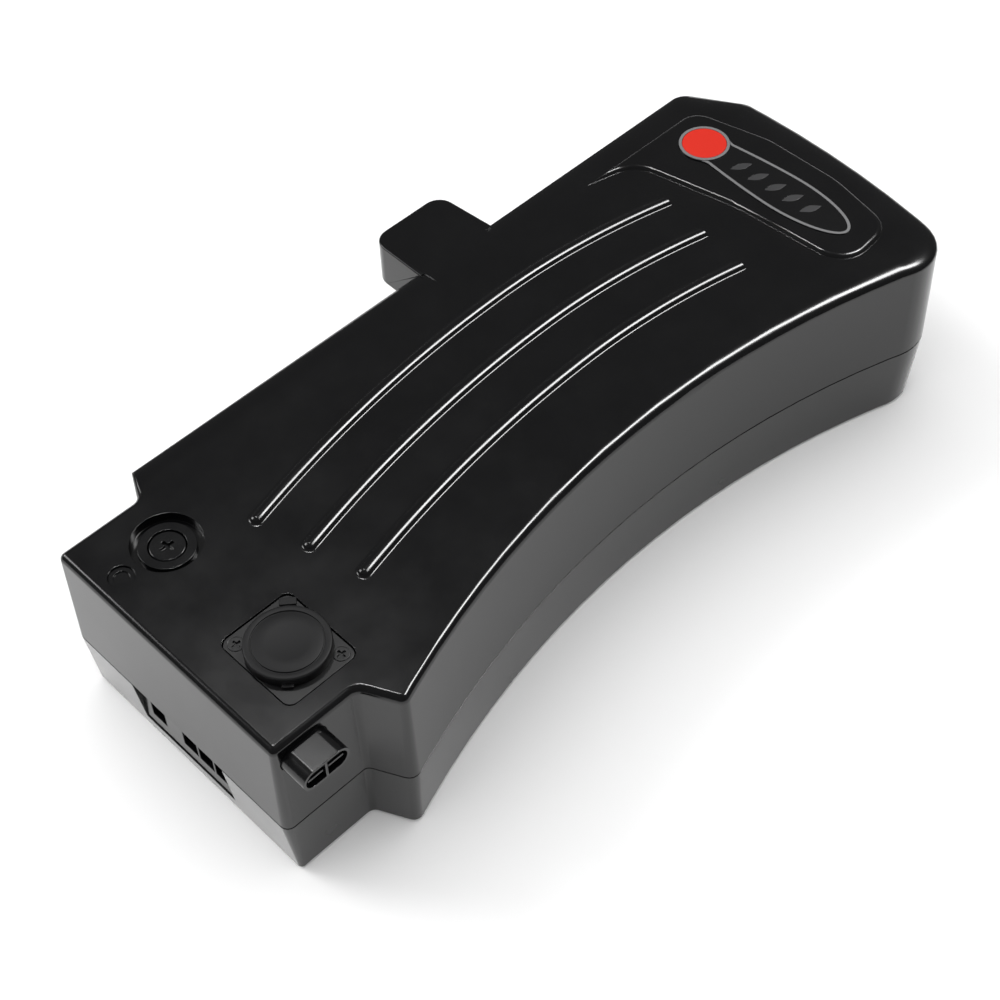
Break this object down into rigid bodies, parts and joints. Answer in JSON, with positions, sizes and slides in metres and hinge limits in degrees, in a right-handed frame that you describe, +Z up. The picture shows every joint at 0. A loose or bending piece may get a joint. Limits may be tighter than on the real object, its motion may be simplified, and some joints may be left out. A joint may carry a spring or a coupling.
{
  "type": "e-bike battery",
  "caption": "Flat removable e-bike battery case with a hollow curved side, a neck with fuse holder, charge socket and output connector, ribs, a fixing lug and a charge gauge.",
  "frame": {"origin": "middle of the bounding box on the plane the battery lies on", "axes": "+X from the neck end to the gauge end, +Y from the hollow curved side to the lug side, +Z up from the tray to the shell's top"},
  "size_m": [0.304, 0.1464, 0.0703],
  "materials": {
    "shell_black": "satin gloss, finely grained",
    "tray_black": "satin",
    "film_black": "printed film, gloss",
    "button_red": "satin",
    "lamp_grey": "smoked, gloss",
    "rubber_dark": "matte",
    "plastic_dark": "matte",
    "socket_metal": "black, satin",
    "screw_steel": "bright",
    "contact_brass": "plated",
    "fuse_glass": "clear",
    "cell_sleeve": "green film sleeve",
    "holder_grey": "matte",
    "strip_nickel": "nickel, satin",
    "foam_grey": "closed-cell foam",
    "board_green": "solder resist",
    "lead_red": "silicone sleeve",
    "lead_pale": "silicone sleeve",
    "lead_black": "silicone sleeve",
    "lead_blue": "silicone sleeve",
    "alu_plain": "mill",
    "connector_pale": "matte"
  },
  "bodies": {
    "case": {"top_shell": "shell_black", "bottom_tray": "tray_black", "seam_gasket": "rubber_dark", "case_screws": "screw_steel", "neck_screw": "screw_steel", "screw_plug": "rubber_dark", "gauge_film": "film_black", "lamp_windows": "lamp_grey", "gauge_board": "board_green", "gauge_lamps": "connector_pale", "button_switch": "plastic_dark", "fuse_holder": "plastic_dark", "fuse_nut": "plastic_dark", "fuse_contact": "contact_brass", "socket_body": "socket_metal", "socket_insert": "plastic_dark", "socket_pins": "contact_brass", "socket_screws": "screw_steel", "cap_tether": "rubber_dark", "outlet_housing": "plastic_dark", "outlet_blades": "contact_brass", "terminal_block": "plastic_dark", "terminal_blades": "contact_brass", "cells": "cell_sleeve", "holder_near": "holder_grey", "holder_far": "holder_grey", "strips_near": "strip_nickel", "strips_far": "strip_nickel", "foam_floor": "foam_grey", "foam_roof": "foam_grey", "board_rails": "holder_grey", "protection_board": "board_green", "board_switches": "plastic_dark", "heat_spreader": "alu_plain", "board_header": "connector_pale", "board_screws": "screw_steel", "power_leads": "lead_red", "charge_leads": "lead_pale", "outlet_leads": "lead_black", "gauge_lead": "lead_blue"},
    "button": {"push_button": "button_red"},
    "fuse": {"fuse_link": "fuse_glass", "fuse_link_ends": "strip_nickel"},
    "fuse_cap": {"fuse_cap": "plastic_dark"},
    "dust_cap": {"dust_cap": "rubber_dark"}
  },
  "joints": [
    {"name": "button_press", "type": "slide", "parent": "case", "child": "button", "axis": [0, 0, -1], "range_m": [0, 0.0008], "stiffness_N_per_m": 800, "springref_m": -0.0005},
    {"name": "fuse_cap_lift", "type": "slide", "parent": "case", "child": "fuse", "axis": [0, 0, 1], "range_m": [0, 0.0045]},
    {"name": "fuse_cap_turn", "type": "hinge", "parent": "fuse", "child": "fuse_cap", "pos_m": [-0.1252, 0.01972, 0.0654], "axis": [0, 0, 1], "range_deg": [0, 1080]},
    {"name": "dust_cap_hinge", "type": "hinge", "parent": "case", "child": "dust_cap", "pos_m": [-0.11496, -0.02408, 0.0676], "axis": [-0.7662, 0.6426, 0], "range_deg": [0, 95]}
  ],
  "couplings": [
    {"joint": "fuse_cap_turn", "follows": "fuse_cap_lift", "rad_per_m": 4188.8}
  ]
}
